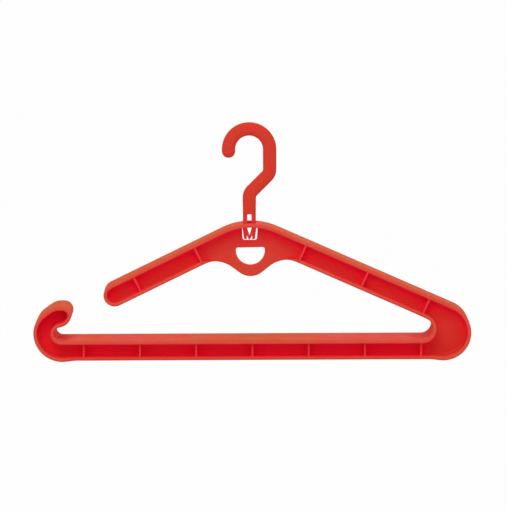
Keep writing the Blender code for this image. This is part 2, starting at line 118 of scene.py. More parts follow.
def bend(point, heading, radius, turn):
    """An arc that leaves a point along a heading. A left turn is positive."""
    side = math.copysign(math.pi / 2, turn)
    centre = point + toward(heading + side) * radius
    return arc(centre, radius, heading - side, turn)


def fillet(corner, heading_in, heading_out, radius):
    """The arc that rounds a corner, in the direction of travel."""
    turn = (heading_out - heading_in + math.pi) % (2 * math.pi) - math.pi
    start = corner - toward(heading_in) * radius * math.tan(abs(turn) / 2)
    return bend(start, heading_in, radius, turn)


def dense(points, longest):
    """The same run with extra points, so that no step is longer than longest."""
    full = [points[0]]
    for before, after in zip(points, points[1:]):
        parts = max(1, math.ceil((after - before).length / longest))
        full += [before.lerp(after, (i + 1) / parts) for i in range(parts)]
    return full


def without_doubles(points, gap=0.02 * MM):
    return [points[0]] + [b for a, b in zip(points, points[1:]) if (b - a).length > gap]


def flipped(points):
    """The mirror image of a run, in the order that carries the run on."""
    return [Vector((-p.x, p.y)) for p in reversed(points)]


def smooth_step(value):
    value = min(max(value, 0.0), 1.0)
    return value * value * (3 - 2 * value)


print("a quarter turn takes", len(arc(Vector((0, 0)), 1, 0, math.pi / 2)), "points")

# %% [markdown]
# ## The frame's outline
# On the real hanger one flange runs round nearly everything: along the shoulders, round the closed
# end, under and over the bar and round the curl. Only the wavy edge in the middle, between the two
# innermost ribs, is bare. So the outline is drawn as two runs: the flanged one and the bare one.

# %% The shoulders' own frame
def shoulder(x, z):
    """A point of the shoulders, measured from the crown. They lean a degree against the bar."""
    turned = Matrix.Rotation(ARM["tilt"], 2) @ Vector((x, z))
    return turned + Vector((CROWN["shift"], -CROWN["drop"]))


apex_rise = CROWN["radius"] * (1 / math.cos(ARM["slope"]) - 1)
apex = shoulder(0, apex_rise)
closed_top = math.pi - ARM["slope"] + ARM["tilt"]
free_top = math.pi + ARM["slope"] + ARM["tilt"]
bar_foot = -BAR["drop"] - BAR["height"]


def arm_point(side, along, down):
    """A point of an arm: side is 1 for the closed arm and -1 for the free one."""
    outward = Vector((side * math.cos(ARM["slope"]), -math.sin(ARM["slope"])))
    inward = Vector((-side * math.sin(ARM["slope"]), -math.cos(ARM["slope"])))
    local = Vector((0, apex_rise)) + outward * along + inward * down
    return shoulder(local.x, local.y)


inside_arm = apex + toward(closed_top + math.pi / 2) * ENDS["radius"]
end_centre = meet(inside_arm, closed_top, Vector((0, bar_foot + ENDS["radius"])), 0.0)
print("closed end's centre is at", [round(v / MM, 1) for v in end_centre], "mm")

# %% The flanged run
def curl_run():
    """Notch, curled tip and outer bend, from the bar's top round to its underside."""
    slope, back = CURL["under_slope"], CURL["back_slope"]
    points = bend(Vector((-CURL["reach"], -BAR["drop"])), math.pi, CURL["notch"], slope - math.pi)
    points += bend(points[-1], slope, CURL["under"], CURL["under_turn"])
    heading = slope + CURL["under_turn"]
    points += bend(points[-1], heading, CURL["nose"], math.pi - heading)
    points.append(points[-1] + toward(math.pi) * CURL["top_run"])
    points += bend(points[-1], math.pi, CURL["back"], back)
    fall = points[-1].y - bar_foot - CURL["upper"] * math.cos(back) - CURL["lower"]
    points.append(points[-1] + toward(math.pi + back) * fall / math.sin(back))
    points += bend(points[-1], math.pi + back, CURL["upper"], math.pi / 2 - back)
    points += bend(points[-1], 1.5 * math.pi, CURL["lower"], math.pi / 2)
    return points


def flanged_run():
    start = arm_point(1, ARM["rib_first"], ARM["height"])
    corner = meet(start, closed_top + math.pi, Vector((0, -BAR["drop"])), math.pi)
    tip = arm_point(-1, ARM["free_length"] - ARM["height"] / 2, ARM["height"] / 2)
    points = [start]
    points += fillet(corner, closed_top + math.pi, math.pi, ENDS["window"])
    points += curl_run()
    points += arc(end_centre, ENDS["radius"], -math.pi / 2, closed_top)
    points += fillet(apex, closed_top, free_top, CROWN["radius"])
    points += arc(tip, ARM["height"] / 2, free_top - math.pi / 2, math.pi)
    points.append(arm_point(-1, ARM["rib_first"], ARM["height"]))
    return without_doubles(points)


curl = curl_run()
flanged = flanged_run()
print("the flanged run has", len(flanged), "points")

# %% The bare run and the two holes
def lobe_run():
    """Valley, lobe, valley: the bare edge between the innermost ribs."""
    flank, slope = LOBE["flank"], ARM["slope"]
    centre = Vector((0, LOBE["radius"] - LOBE["drop"]))
    touch = centre + toward(-math.pi / 2 - flank) * LOBE["radius"]
    under = Vector((0, apex_rise - ARM["height"] / math.cos(slope)))
    corner = meet(under, slope, touch, -flank)
    points = fillet(corner, slope, -flank, LOBE["valley"])
    points += arc(centre, LOBE["radius"], -math.pi / 2 - flank, 2 * flank)
    points += fillet(Vector((-corner.x, corner.y)), flank, -slope, LOBE["valley"])
    return [shoulder(p.x, p.y) for p in without_doubles(points)]


def d_hole_run():
    half, top = LOBE["hole_width"] / 2, -LOBE["hole_drop"]
    centre = Vector((0, top - LOBE["hole_height"] + half))
    points = arc(centre, half, math.pi, math.pi)
    points += fillet(Vector((half, top)), math.pi / 2, math.pi, LOBE["hole_corner"])
    points += fillet(Vector((-half, top)), math.pi, 1.5 * math.pi, LOBE["hole_corner"])
    return [shoulder(p.x, p.y) for p in without_doubles(points)]


def barb_height():
    """The hook's barbs bear here, just under the curved flange."""
    inner = CROWN["radius"] - WALL["flange"]
    reach = HOOK["barb"] + CROWN["shift"]
    sag = inner - math.sqrt(inner ** 2 - reach ** 2)
    lean = reach * math.tan(ARM["tilt"])
    return -(CROWN["drop"] + WALL["flange"] + sag + lean + FIT["seat"])


def window_run(overlap=0.05 * MM):
    """The window that the hook's split end turns in, centred on the crown and open up to the flange."""
    half = HOOK["barb"] + FIT["window"]
    top, bottom = -CROWN["drop"], barb_height() - HOOK["snap"] - FIT["window_under"]
    lean = math.atan2(FIT["window_taper"], top - bottom)
    left, right = (CROWN["shift"] + side * (half - FIT["window_taper"]) for side in (-1, 1))
    inner = CROWN["radius"] - WALL["flange"]
    reach = math.asin(half / inner)
    points = [shoulder(p.x, p.y) for p in arc(
        Vector((0, -CROWN["radius"])), inner + overlap, math.pi / 2 - reach, 2 * reach)]
    points += fillet(Vector((left, bottom)), lean - math.pi / 2, 0.0, FIT["window_corner"])
    points += fillet(Vector((right, bottom)), 0.0, math.pi / 2 - lean, FIT["window_corner"])
    return without_doubles(points)


print("the D-shaped hole has", len(d_hole_run()), "points, the window", len(window_run()))

# %% [markdown]
# ## From drawing to mesh
# These helpers turn points into Blender objects. A wire is a mesh of edges, which Geometry Nodes
# read as a path or as a section. A plate is a filled flat curve: its bevel gives the moulded edge
# its small round, and its offset keeps the outline's size.

# %% Helpers for meshes
def add_object(name, data):
    item = bpy.data.objects.new(name, data)
    bpy.context.scene.collection.objects.link(item)
    return item


def solid_of(item):
    solid = bmesh.new()
    solid.from_mesh(item.data)
    return solid


def object_from(name, solid):
    """Makes an object of a finished bmesh and frees the bmesh."""
    mesh = bpy.data.meshes.new(name)
    solid.to_mesh(mesh)
    solid.free()
    return add_object(name, mesh)


def store(mesh, key, numbers):
    """Keeps one number for each point of a mesh, under a name that trees and materials can read."""
    mesh.attributes.new(key, "FLOAT", "POINT").data.foreach_set("value", numbers)


def wire(name, points, closed, **values):
    """A mesh of edges through (x, y, z) points. Each extra list is stored on the points."""
    mesh = bpy.data.meshes.new(name)
    count = len(points)
    edges = [(i, (i + 1) % count) for i in range(count if closed else count - 1)]
    mesh.from_pydata([tuple(p) for p in points], edges, [])
    for key, numbers in values.items():
        store(mesh, key, numbers)
    return add_object(name, mesh)


def upright(points):
    return [(p.x, 0.0, p.y) for p in points]


def baked(item):
    """Replaces an object by the plain mesh that its modifiers make."""
    bpy.context.view_layer.update()
    mesh = bpy.data.meshes.new_from_object(item.evaluated_get(bpy.context.evaluated_depsgraph_get()))
    name, place = item.name, item.matrix_world.copy()
    bpy.data.objects.remove(item, do_unlink=True)
    mesh.transform(place)
    mesh.name = name
    return add_object(name, mesh)


def clean(item, gap=0.01 * MM):
    """Merges doubles and turns every face outwards."""
    solid = solid_of(item)
    bmesh.ops.remove_doubles(solid, verts=solid.verts, dist=gap)
    bmesh.ops.dissolve_degenerate(solid, edges=solid.edges, dist=gap / 10)
    bmesh.ops.recalc_face_normals(solid, faces=solid.faces)
    if solid.calc_volume(signed=True) < 0:
        bmesh.ops.reverse_faces(solid, faces=solid.faces)
    solid.to_mesh(item.data)
    solid.free()
    return item


def plate(name, runs, thickness, rounding):
    """A plate from closed runs. The first is its outline and the others are holes."""
    curve = bpy.data.curves.new(name, "CURVE")
    curve.dimensions = "2D"
    curve.fill_mode = "BOTH"
    curve.extrude = thickness / 2 - rounding
    curve.bevel_depth = rounding
    curve.bevel_resolution = 2
    curve.offset = -rounding
    for run in runs:
        spline = curve.splines.new("POLY")
        spline.points.add(len(run) - 1)
        for target, point in zip(spline.points, run):
            target.co = (point.x, point.y, 0.0, 1.0)
        spline.use_cyclic_u = True
    item = add_object(name, curve)
    item.rotation_euler = (math.pi / 2, 0, 0)
    return clean(baked(item))


def combine(target, other, operation, solver="MANIFOLD"):
    """Joins or cuts target with another closed mesh, which is then removed."""
    modifier = target.modifiers.new(other.name, "BOOLEAN")
    modifier.operation = operation
    modifier.solver = solver
    modifier.object = other
    result = baked(target)
    bpy.data.objects.remove(other, do_unlink=True)
    return result


def report(label, item):
    """Prints a mesh's faces, and its open edges, of which a closed skin has none."""
    solid = solid_of(item)
    count = sum(1 for edge in solid.edges if len(edge.link_faces) != 2)
    solid.free()
    print(f"{label}: {len(item.data.polygons)} faces, {count} open edges")


print("plain solids in the scene:", len(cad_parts))

# %% [markdown]
# ## The flange, swept by Geometry Nodes
# The flange is the strip round the edge that makes the thin hanger stiff. In section it is a T: a
# rounded strip with a short foot that runs into the web through two fillets, and on its outer face
# a hair-fine parting line where the two halves of the mould met. A tree sweeps that section along
# the flanged run. The strip is deeper along the bar and at both ends, so each point of the path
# carries how far the flange's edges stand back there, and Set Position moves only those edges. Past
# the innermost ribs the section shrinks into the web, because the real flange fades out there.

# %% How deep the flange is along its path
RUN_OUT = {"fade": 0.86, **mm(length=17.0, step=1.0)}
PATH_STEP = 5.0 * MM


def half_depth_at(x, z):
    """Half the flange's depth at a point of its path."""
    slim, deep = ARM["depth"] / 2, BAR["depth"] / 2
    on_underside = z < bar_foot + 1.5 * WALL["flange"]
    in_curl = x < 2 * CURL["notch"] - CURL["reach"]
    if on_underside:
        flare, foot = ENDS["foot_flare"], BAR["foot_depth"] / 2
        past = max(x - (end_centre.x - flare), curl[-1].x + flare - x)
        return foot + (deep - foot) * smooth_step(past / flare)
    if in_curl:
        return deep
    span = ENDS["flare_bottom"] - ENDS["flare_top"]
    return slim + (deep - slim) * smooth_step((-z - ENDS["flare_top"]) / span)


def length_along(points):
    """The distance of each point from the first one, along the run."""
    total = [0.0]
    for before, after in zip(points, points[1:]):
        total.append(total[-1] + (after - before).length)
    return total


def run_out(points):
    """The first part of a run, with a girth that fades along it."""
    fine, length = dense(points, RUN_OUT["step"]), RUN_OUT["length"]
    kept = [(p, far / length) for p, far in zip(fine, length_along(fine)) if far <= length]
    return [(p, 1 - RUN_OUT["fade"] * smooth_step(share)) for p, share in kept]


bare = lobe_run()
fade_in, fade_out = run_out(bare[::-1])[::-1], run_out(bare)
full = [(p, 1.0) for p in dense([bare[-1]] + flanged[1:-1] + [bare[0]], PATH_STEP)]
path_points, girths = zip(*(fade_in[:-1] + full + fade_out[1:]))
set_back = [BAR["depth"] / 2 - half_depth_at(p.x, p.y) for p in path_points]
flange_path = wire("flange_path", upright(path_points), closed=False, set_back=set_back, girth=girths)
print("the flange is", round(length_along(path_points)[-1], 3), "m long")

# %% The flange's section
ROUND = mm(outer=1.6, inner=1.2, fillet=1.8, sink=0.06, parting=0.1, parting_half=0.22,
           root_in=0.4, root_down=0.5)
INNER_STOPS = (16.5 * MM, 8.0 * MM, 5.0 * MM)


def quarter(x, y, radius, start, turn=-90.0, steps=5):
    """A quarter round about (x, y) from a start angle, in degrees. It turns right unless told."""
    return [Vector((x, y)) + toward(math.radians(start + turn * i / steps)) * radius
            for i in range(steps + 1)]


def flange_section():
    """Half of the T, mirrored. x is the depth, and y points out of the hanger from the path."""
    half, inner, face = BAR["depth"] / 2, -WALL["flange"], -ROUND["parting"]
    web, outer_round, inner_round = WALL["web"] / 2, ROUND["outer"], ROUND["inner"]
    side = [Vector((ROUND["parting_half"] / 2, 0)), Vector((ROUND["parting_half"], face)),
            Vector((half / 2, face))]
    side += quarter(half - outer_round, face - outer_round, outer_round, 90)
    side += quarter(half - inner_round, inner + inner_round, inner_round, 0)
    side += [Vector((x, inner)) for x in INNER_STOPS]
    root = inner - ROUND["fillet"]
    side += quarter(web + ROUND["fillet"] - ROUND["sink"], root, ROUND["fillet"], 90, 90.0)
    side.append(Vector((web - ROUND["root_in"], root - ROUND["root_down"])))
    return [Vector((p.x, -p.y)) for p in side + flipped(side)]


section = flange_section()
flange_profile = wire("flange_profile", [(p.x, p.y, 0.0) for p in section], closed=True)
print("the section has", len(section), "points")

# %% [markdown]
# ## Node trees written in code
# A tree that a script builds is easy to change. These helpers hold what the trees below share: named
# inputs, a section swept along a path, and the end, where copies become real mesh with a material.

# %% Helpers for node trees
def node(tree, kind, **settings):
    made = tree.nodes.new(kind)
    for key, value in settings.items():
        setattr(made, key, value)
    return made


def new_tree(name, inputs):
    """A geometry tree with named inputs, given as (name, socket type), and the node that has them."""
    tree = bpy.data.node_groups.new(name, "GeometryNodeTree")
    tree.is_modifier = True
    tree.interface.new_socket("Geometry", in_out="INPUT", socket_type="NodeSocketGeometry")
    for label, kind in inputs:
        tree.interface.new_socket(label, in_out="INPUT", socket_type=kind)
    tree.interface.new_socket("Geometry", in_out="OUTPUT", socket_type="NodeSocketGeometry")
    return tree, node(tree, "NodeGroupInput")


def named_value(tree, name):
    reader = node(tree, "GeometryNodeInputNamedAttribute", data_type="FLOAT")
    reader.inputs["Name"].default_value = name
    return reader.outputs["Attribute"]


def calculate(tree, operation, *values):
    """A Math node. Each value is a number or a socket."""
    made = node(tree, "ShaderNodeMath", operation=operation)
    for socket, value in zip(made.inputs, values):
        if isinstance(value, (int, float)):
            socket.default_value = value
        else:
            tree.links.new(value, socket)
    return made.outputs[0]


def position_parts(tree):
    """The X, Y and Z of each point's place."""
    place, parts = node(tree, "GeometryNodeInputPosition"), node(tree, "ShaderNodeSeparateXYZ")
    tree.links.new(place.outputs["Position"], parts.inputs["Vector"])
    return parts.outputs


def swept(tree, given):
    """The section drawn along the path, as thick as the girth that the path's points carry."""
    link = tree.links.new
    path, section_curve = node(tree, "GeometryNodeMeshToCurve"), node(tree, "GeometryNodeMeshToCurve")
    facing = node(tree, "GeometryNodeSetCurveNormal", mode="FREE")
    facing.inputs["Normal"].default_value = (0, 1, 0)
    read, sweep = node(tree, "GeometryNodeObjectInfo"), node(tree, "GeometryNodeCurveToMesh")
    sweep.inputs["Fill Caps"].default_value = True
    link(given.outputs["Geometry"], path.inputs["Mesh"])
    link(path.outputs["Curve"], facing.inputs["Curve"])
    link(facing.outputs["Curve"], sweep.inputs["Curve"])
    link(given.outputs["Section"], read.inputs["Object"])
    link(read.outputs["Geometry"], section_curve.inputs["Mesh"])
    link(section_curve.outputs["Curve"], sweep.inputs["Profile Curve"])
    link(named_value(tree, "girth"), sweep.inputs["Scale"])
    return sweep.outputs["Mesh"]


def moved(tree, geometry, socket, **parts):
    """Set Position by an offset or to a place, from the sockets for X, Y and Z."""
    join, shift = node(tree, "ShaderNodeCombineXYZ"), node(tree, "GeometryNodeSetPosition")
    for axis, value in parts.items():
        tree.links.new(value, join.inputs[axis])
    tree.links.new(geometry, shift.inputs["Geometry"])
    tree.links.new(join.outputs["Vector"], shift.inputs[socket])
    return shift.outputs["Geometry"]


def end_tree(tree, given, geometry):
    """Every tree ends alike: copies become real mesh, and the mesh gets its plastic."""
    link = tree.links.new
    real, paint = node(tree, "GeometryNodeRealizeInstances"), node(tree, "GeometryNodeSetMaterial")
    link(geometry, real.inputs["Geometry"])
    link(real.outputs["Geometry"], paint.inputs["Geometry"])
    link(given.outputs["Plastic"], paint.inputs["Material"])
    link(paint.outputs["Geometry"], node(tree, "NodeGroupOutput").inputs["Geometry"])
    return tree


def run_tree(item, tree, values):
    """Puts a tree on an object, sets its inputs by identifier and bakes the result."""
    modifier = item.modifiers.new(tree.name, "NODES")
    modifier.node_group = tree
    for entry in tree.interface.items_tree:
        if entry.in_out == "INPUT" and entry.name in values:
            modifier[entry.identifier] = values[entry.name]
    return clean(baked(item))


frame_plastic = bpy.data.materials.new("satin_red_plastic")
hook_plastic = bpy.data.materials.new("polished_red_plastic")
print("materials to fill in later:", frame_plastic.name, "and", hook_plastic.name)

# %% The sweep tree
def sweep_tree():
    tree, given = new_tree("sweep_along_outline", [
        ("Section", "NodeSocketObject"), ("Edge From", "NodeSocketFloat"),
        ("Plastic", "NodeSocketMaterial")])
    depth, girth = position_parts(tree)["Y"], named_value(tree, "girth")
    is_edge = calculate(tree, "GREATER_THAN", calculate(tree, "ABSOLUTE", depth),
                        calculate(tree, "MULTIPLY", given.outputs["Edge From"], girth))
    back = calculate(tree, "MULTIPLY", named_value(tree, "set_back"),
                     calculate(tree, "MULTIPLY", is_edge, girth))
    towards_middle = calculate(tree, "MULTIPLY", -1.0, calculate(tree, "SIGN", depth))
    move = calculate(tree, "MULTIPLY", back, towards_middle)
    return end_tree(tree, given, moved(tree, swept(tree, given), "Offset", Y=move))


flange = run_tree(flange_path, sweep_tree(), {
    "Section": flange_profile, "Edge From": BAR["depth"] / 4, "Plastic": frame_plastic})
bpy.data.objects.remove(flange_profile, do_unlink=True)
report("flange", flange)

# %% [markdown]
# ## The web
# The web is the thin wall in the middle of the frame, with the D-shaped hole in its lobe. It is cut
# from one plate. Its outline follows the middle of the flange, so that the joint between the two
# lies hidden inside the plastic, and its bare edges get a small round. The hook's window comes later,
# because it also has to pass the foot of the flange.

# %% Cut the web
def inward(points, distance):
    """An open run moved towards the plastic, which lies on its left."""
    shifted = []
    for i, point in enumerate(points):
        along = points[min(i + 1, len(points) - 1)] - points[max(i - 1, 0)]
        shifted.append(point + Vector((-along.y, along.x)).normalized() * distance)
    return shifted


middle = inward(flanged, WALL["flange"] / 2)
web_runs = [middle[1:-1] + bare, d_hole_run()]
web = plate("frame_web", web_runs, thickness=WALL["web"], rounding=0.5 * MM)
report("web", web)

# %% [markdown]
# ## The ribs, placed by Geometry Nodes
# Twelve thin ribs cross the pockets and stop the flanges from buckling: seven along the bar, three in
# the closed arm and two in the free one. One rib is modelled once, with its rounded front edge and
# the fillets that join it to the web. A tree sets a copy on each point of a small cloud, turned and
# stretched by the values that the point carries.

# %% One rib
RIB = mm(fillet=1.1, nose=0.8)
RIB["tip"] = min(ARM["depth"], BAR["foot_depth"]) / 2 - WALL["rib_inset"]


def rib_mesh():
    """A rib of unit height. x is its thickness, y its depth, and it stands along z."""
    half, web = WALL["rib"] / 2, WALL["web"] / 2 - ROUND["sink"]
    fil, nose = RIB["fillet"], RIB["nose"]
    side = quarter(half + fil, web + fil, fil, -90, steps=4)
    side += quarter(half - nose, RIB["tip"] - nose, nose, 0, 90.0, steps=4)
    front = side + flipped(side)
    ring = front + [Vector((-p.x, -p.y)) for p in front]
    solid = bmesh.new()
    face = solid.faces.new([solid.verts.new((p.x, p.y, -0.5)) for p in ring])
    grown = bmesh.ops.extrude_face_region(solid, geom=[face])["geom"]
    bmesh.ops.translate(solid, vec=(0, 0, 1), verts=[v for v in grown if hasattr(v, "co")])
    return clean(object_from("one_rib", solid))


rib = rib_mesh()
report("one rib", rib)

# %% All the ribs
def rib_places():
    """Where the ribs stand: centre, turn about Y and height."""
    for side, arm in ((1, "closed"), (-1, "free")):
        for i in range(RIB_COUNT[arm]):
            spot = arm_point(side, ARM["rib_first"] + i * ARM["rib_pitch"], ARM["height"] / 2)
            yield spot, side * ARM["slope"] - ARM["tilt"], ARM["height"] - WALL["flange"]
    centre = (min(p.x for p in curl) + end_centre.x + ENDS["radius"]) / 2
    for i in range(RIB_COUNT["bar"]):
        along = (i - (RIB_COUNT["bar"] - 1) / 2) * BAR["rib_pitch"]
        spot = Vector((centre + along, -BAR["drop"] - BAR["height"] / 2))
        yield spot, 0.0, BAR["height"] - WALL["flange"]


def rib_tree():
    tree, given = new_tree("ribs_on_points", [
        ("Rib", "NodeSocketObject"), ("Plastic", "NodeSocketMaterial")])
    link = tree.links.new
    points, read = node(tree, "GeometryNodeMeshToPoints"), node(tree, "GeometryNodeObjectInfo")
    turn, size = node(tree, "ShaderNodeCombineXYZ"), node(tree, "ShaderNodeCombineXYZ")
    size.inputs["X"].default_value = 1.0
    size.inputs["Y"].default_value = 1.0
    copies = node(tree, "GeometryNodeInstanceOnPoints")
    link(named_value(tree, "rib_turn"), turn.inputs["Y"])
    link(named_value(tree, "rib_height"), size.inputs["Z"])
    link(given.outputs["Geometry"], points.inputs["Mesh"])
    link(given.outputs["Rib"], read.inputs["Object"])
    link(points.outputs["Points"], copies.inputs["Points"])
    link(read.outputs["Geometry"], copies.inputs["Instance"])
    link(turn.outputs["Vector"], copies.inputs["Rotation"])
    link(size.outputs["Vector"], copies.inputs["Scale"])
    return end_tree(tree, given, copies.outputs["Instances"])


spots, turns, heights = zip(*rib_places())
rib_cloud = wire("frame_ribs", upright(spots), closed=False, rib_turn=turns, rib_height=heights)
ribs = run_tree(rib_cloud, rib_tree(), {"Rib": rib, "Plastic": frame_plastic})
bpy.data.objects.remove(rib, do_unlink=True)
report(f"{len(spots)} ribs", ribs)

# %% [markdown]
# ## One moulding
# Flange, web and ribs leave the mould as one piece, so they are joined into one closed skin. Then the
# hook's places are cut: the window in the web, up to the flange, and the round hole in the crown for
# its neck. The skin then stands for the plain solid.

# %% Join the frame
skin = combine(web, flange, "UNION")
skin = combine(skin, ribs, "UNION")
window = plate("window_cutter", [window_run()], thickness=3 * WALL["web"], rounding=0.02 * MM)
skin = combine(skin, window, "DIFFERENCE")
bpy.ops.mesh.primitive_cylinder_add(
    vertices=96, radius=HOOK["neck"] / 2 + FIT["neck"], depth=4 * WALL["flange"],
    location=(0, 0, -CROWN["drop"] - WALL["flange"] / 2))
hole = bpy.context.object
hole.data.transform(hole.matrix_world)
hole.matrix_world = Matrix.Identity(4)
skin = combine(skin, hole, "DIFFERENCE")
skin.name = "frame_skin"
clean(skin, gap=0.02 * MM)
report("frame skin", skin)

# %% [markdown]
# ## The hook
# The hook is a second moulding. Its bar is a rounded oblong in section, bent into an arc over the
# rail, a straight shank and a crank that brings the stem back under the arc's middle, so that the
# hanger hangs straight. The same kind of sweep makes it, with the girth and the flatness of each
# station carried by the path: the tip closes in a round nose and the stem becomes nearly round.

# %% The hook's centre line
NOSE = {"steps": 12, "turn": math.radians(88)}
STEM = {"steps": 8, "share": 0.6}


def hook_stations():
    """Points down the hook with their girth and flatness."""
    reach, nose = HOOK["rail"] + HOOK["width"] / 2, HOOK["width"] / 2
    tip, flat = -HOOK["rail"] - HOOK["tail"], HOOK["depth"] / HOOK["width"]
    stations = []
    for i in range(NOSE["steps"]):
        angle = NOSE["turn"] * (1 - i / NOSE["steps"])
        stations.append((Vector((-reach, tip - nose * math.sin(angle))), math.cos(angle), flat))
    run = [Vector((-reach, tip))] + arc(Vector((0, -HOOK["rail"])), reach, math.pi, -math.pi)
    down, slant = -0.5 * math.pi, -0.75 * math.pi
    upper = Vector((reach, -HOOK["shank"]))
    run += fillet(upper, down, slant, HOOK["bend"])
    run += fillet(meet(upper, slant, Vector((0, 0)), down), slant, down, HOOK["bend"])
    stations += [(p, 1.0, flat) for p in without_doubles(run)]
    stem, start = HOOK["stem"] / HOOK["width"], run[-1].y
    seat = -CROWN["drop"] + FIT["seat"]
    for i in range(1, STEM["steps"] + 1):
        share = smooth_step(i / STEM["steps"])
        spot = Vector((0, start + (seat - start) * i / STEM["steps"] * STEM["share"]))
        stations.append((spot, 1 + (stem - 1) * share, flat + (1 - flat) * share))
    stations.append((Vector((0, seat)), stem, 1.0))
    return stations


def oblong(width, fullness, count):
    """A closed section between an ellipse (fullness 2) and a box."""
    ring = []
    for i in range(count):
        c, s = math.cos(2 * math.pi * i / count), math.sin(2 * math.pi * i / count)
        ring.append((math.copysign(abs(c) ** (2 / fullness), c) * width / 2,
                     math.copysign(abs(s) ** (2 / fullness), s) * width / 2, 0.0))
    return ring


places, girths, flats = zip(*hook_stations())
hook_path = wire("hook_bar", upright(places), closed=False, girth=girths, flatness=flats)
hook_section = wire("hook_section", oblong(HOOK["width"], fullness=2.4, count=48), closed=True)
print("the hook's path has", len(places), "stations")

# %% The hook tree
def bar_tree():
    tree, given = new_tree("bar_along_path", [
        ("Section", "NodeSocketObject"), ("Plastic", "NodeSocketMaterial")])
    parts = position_parts(tree)
    flat = calculate(tree, "MULTIPLY", parts["Y"], named_value(tree, "flatness"))
    bar = moved(tree, swept(tree, given), "Position", X=parts["X"], Y=flat, Z=parts["Z"])
    return end_tree(tree, given, bar)


hook = run_tree(hook_path, bar_tree(), {"Section": hook_section, "Plastic": hook_plastic})
bpy.data.objects.remove(hook_section, do_unlink=True)
report("hook bar", hook)

# %% [markdown]
# ## The snap end
# Under the flange the stem turns into a snap fit: a neck that turns in the hole, then two legs that
# were squeezed together to pass it and have sprung out again. A slot lets them bend, and a V between
# them keeps them apart, so that from the front the end looks like a letter M seen against the light.
# It is turned round, shaved flat front and back, and then the slot and notches are cut through it.

# %% Turn and cut the snap end
def turned(name, profile, sides):
    """A solid of revolution about Z from (radius, height) pairs, the first and last on the axis."""
    solid = bmesh.new()
    spine = [solid.verts.new((r, 0, z)) for r, z in profile]
    edges = [solid.edges.new(pair) for pair in zip(spine, spine[1:])]
    bmesh.ops.spin(solid, geom=spine + edges, cent=(0, 0, 0), axis=(0, 0, 1),
                   angle=2 * math.pi, steps=sides)
    return clean(object_from(name, solid))


def box(name, low, high):
    solid = bmesh.new()
    bmesh.ops.create_cube(solid, size=1.0)
    size, centre = Vector(high) - Vector(low), (Vector(high) + Vector(low)) / 2
    for vertex in solid.verts:
        vertex.co = Vector(a * b for a, b in zip(vertex.co, size)) + centre
    return object_from(name, solid)


seat, barb = -CROWN["drop"] + FIT["seat"], barb_height()
leg_end, neck, reach = barb - HOOK["snap"], HOOK["neck"] / 2, HOOK["barb"]
lip, in_stem, below, far_off = HOOK["lip"], 2 * MM, 5 * MM, 20 * MM
snap = turned("snap_end", [
    (0, seat + in_stem), (neck, seat + in_stem), (neck, barb), (reach - lip, barb),
    (reach, barb - lip), (reach - HOOK["leg_taper"], leg_end + lip),
    (reach - HOOK["leg_taper"] - lip, leg_end), (0, leg_end)], sides=72)
flat = HOOK["snap_depth"] / 2
for name, near, far in (("front", -far_off, -flat), ("back", flat, far_off)):
    shave = box(name, (-far_off, near, leg_end - below),
                (far_off, far, -CROWN["drop"] - WALL["flange"] / 2))
    snap = combine(snap, shave, "DIFFERENCE", "EXACT")
hook = combine(hook, snap, "UNION")
report("hook with its snap end", hook)

# %% Cut the slot, the V and the notches
def snap_openings():
    half, top = HOOK["slot"] / 2, -CROWN["drop"] + HOOK["slot_rise"]
    vee, low = barb - HOOK["vee_drop"], leg_end - 1 * MM
    slot = fillet(Vector((-half, top)), math.pi / 2, 0.0, HOOK["slot_corner"])
    slot += fillet(Vector((half, top)), 0.0, -math.pi / 2, HOOK["slot_corner"])
    slot += [Vector((half, vee)), Vector((0, vee - HOOK["vee_height"])), Vector((-half, vee))]
    notch = [Vector((half + HOOK["notch_shift"], leg_end + HOOK["notch"])),
             Vector((HOOK["vee_point"] / 2, low)),
             Vector((reach - HOOK["leg_taper"] - HOOK["leg_end"], low))]
    return slot, notch, flipped(notch)


for i, run in enumerate(snap_openings()):
    cutter = plate(f"opening_{i}", [run], thickness=2 * far_off, rounding=0.01 * MM)
    hook = combine(hook, cutter, "DIFFERENCE")
hook.name = "hook_skin"
clean(hook, gap=0.02 * MM)
report("hook skin", hook)

# %% [markdown]
# ## Where the plastic lies deep
# Here the shade and light that fall on each point are measured, to be painted into the colour later:
# painted shade makes pockets deep red, painted light makes open faces and tops paler and more orange.
# So each point of the skin gets a value for how open it is: rays leave it towards a soft sky, and the
# share that passes all plastic is stored as daylight. The ribs' narrow fronts get a mark of their own,
# for a painted highlight. The wide web has few points to store values on, so it is cut into squares
# first.

# %% Cut the web's wide faces into squares
def cut_in_squares(item, step):
    solid = solid_of(item)
    for axis in (0, 2):
        values = [v.co[axis] for v in solid.verts]
        place = min(values) + step / 2
        while place < max(values):
            wide = [f for f in solid.faces if abs(f.normal.y) > 0.99
                    and abs(f.calc_center_median().y) < WALL["web"]]
            rims = dict.fromkeys(part for f in wide for part in (*f.edges, *f.verts))
            centre, normal = Vector((0, 0, 0)), Vector((0, 0, 0))
            centre[axis], normal[axis] = place, 1.0
            bmesh.ops.bisect_plane(solid, geom=[*rims, *wide], plane_co=centre, plane_no=normal)
            place += step
    solid.to_mesh(item.data)
    solid.free()


cut_in_squares(skin, step=5.0 * MM)
report("frame skin in squares", skin)

# %% Mark the ribs' fronts
FRONT = mm(back=0.6, slack=0.1, ends=1.4)


def on_rib_front(point, places):
    """Whether a point lies on a rib's rounded front, and not where the rib meets the flange."""
    spread, here = abs(point.y) - RIB["tip"], Vector((point.x, point.z))
    return -FRONT["back"] < spread < FRONT["slack"] and any(
        abs((here - spot).dot(toward(-turn))) < WALL["rib"] / 2 + FRONT["slack"]
        and abs((here - spot).dot(toward(math.pi / 2 - turn))) < height / 2 - FRONT["ends"]
        for spot, turn, height in places)
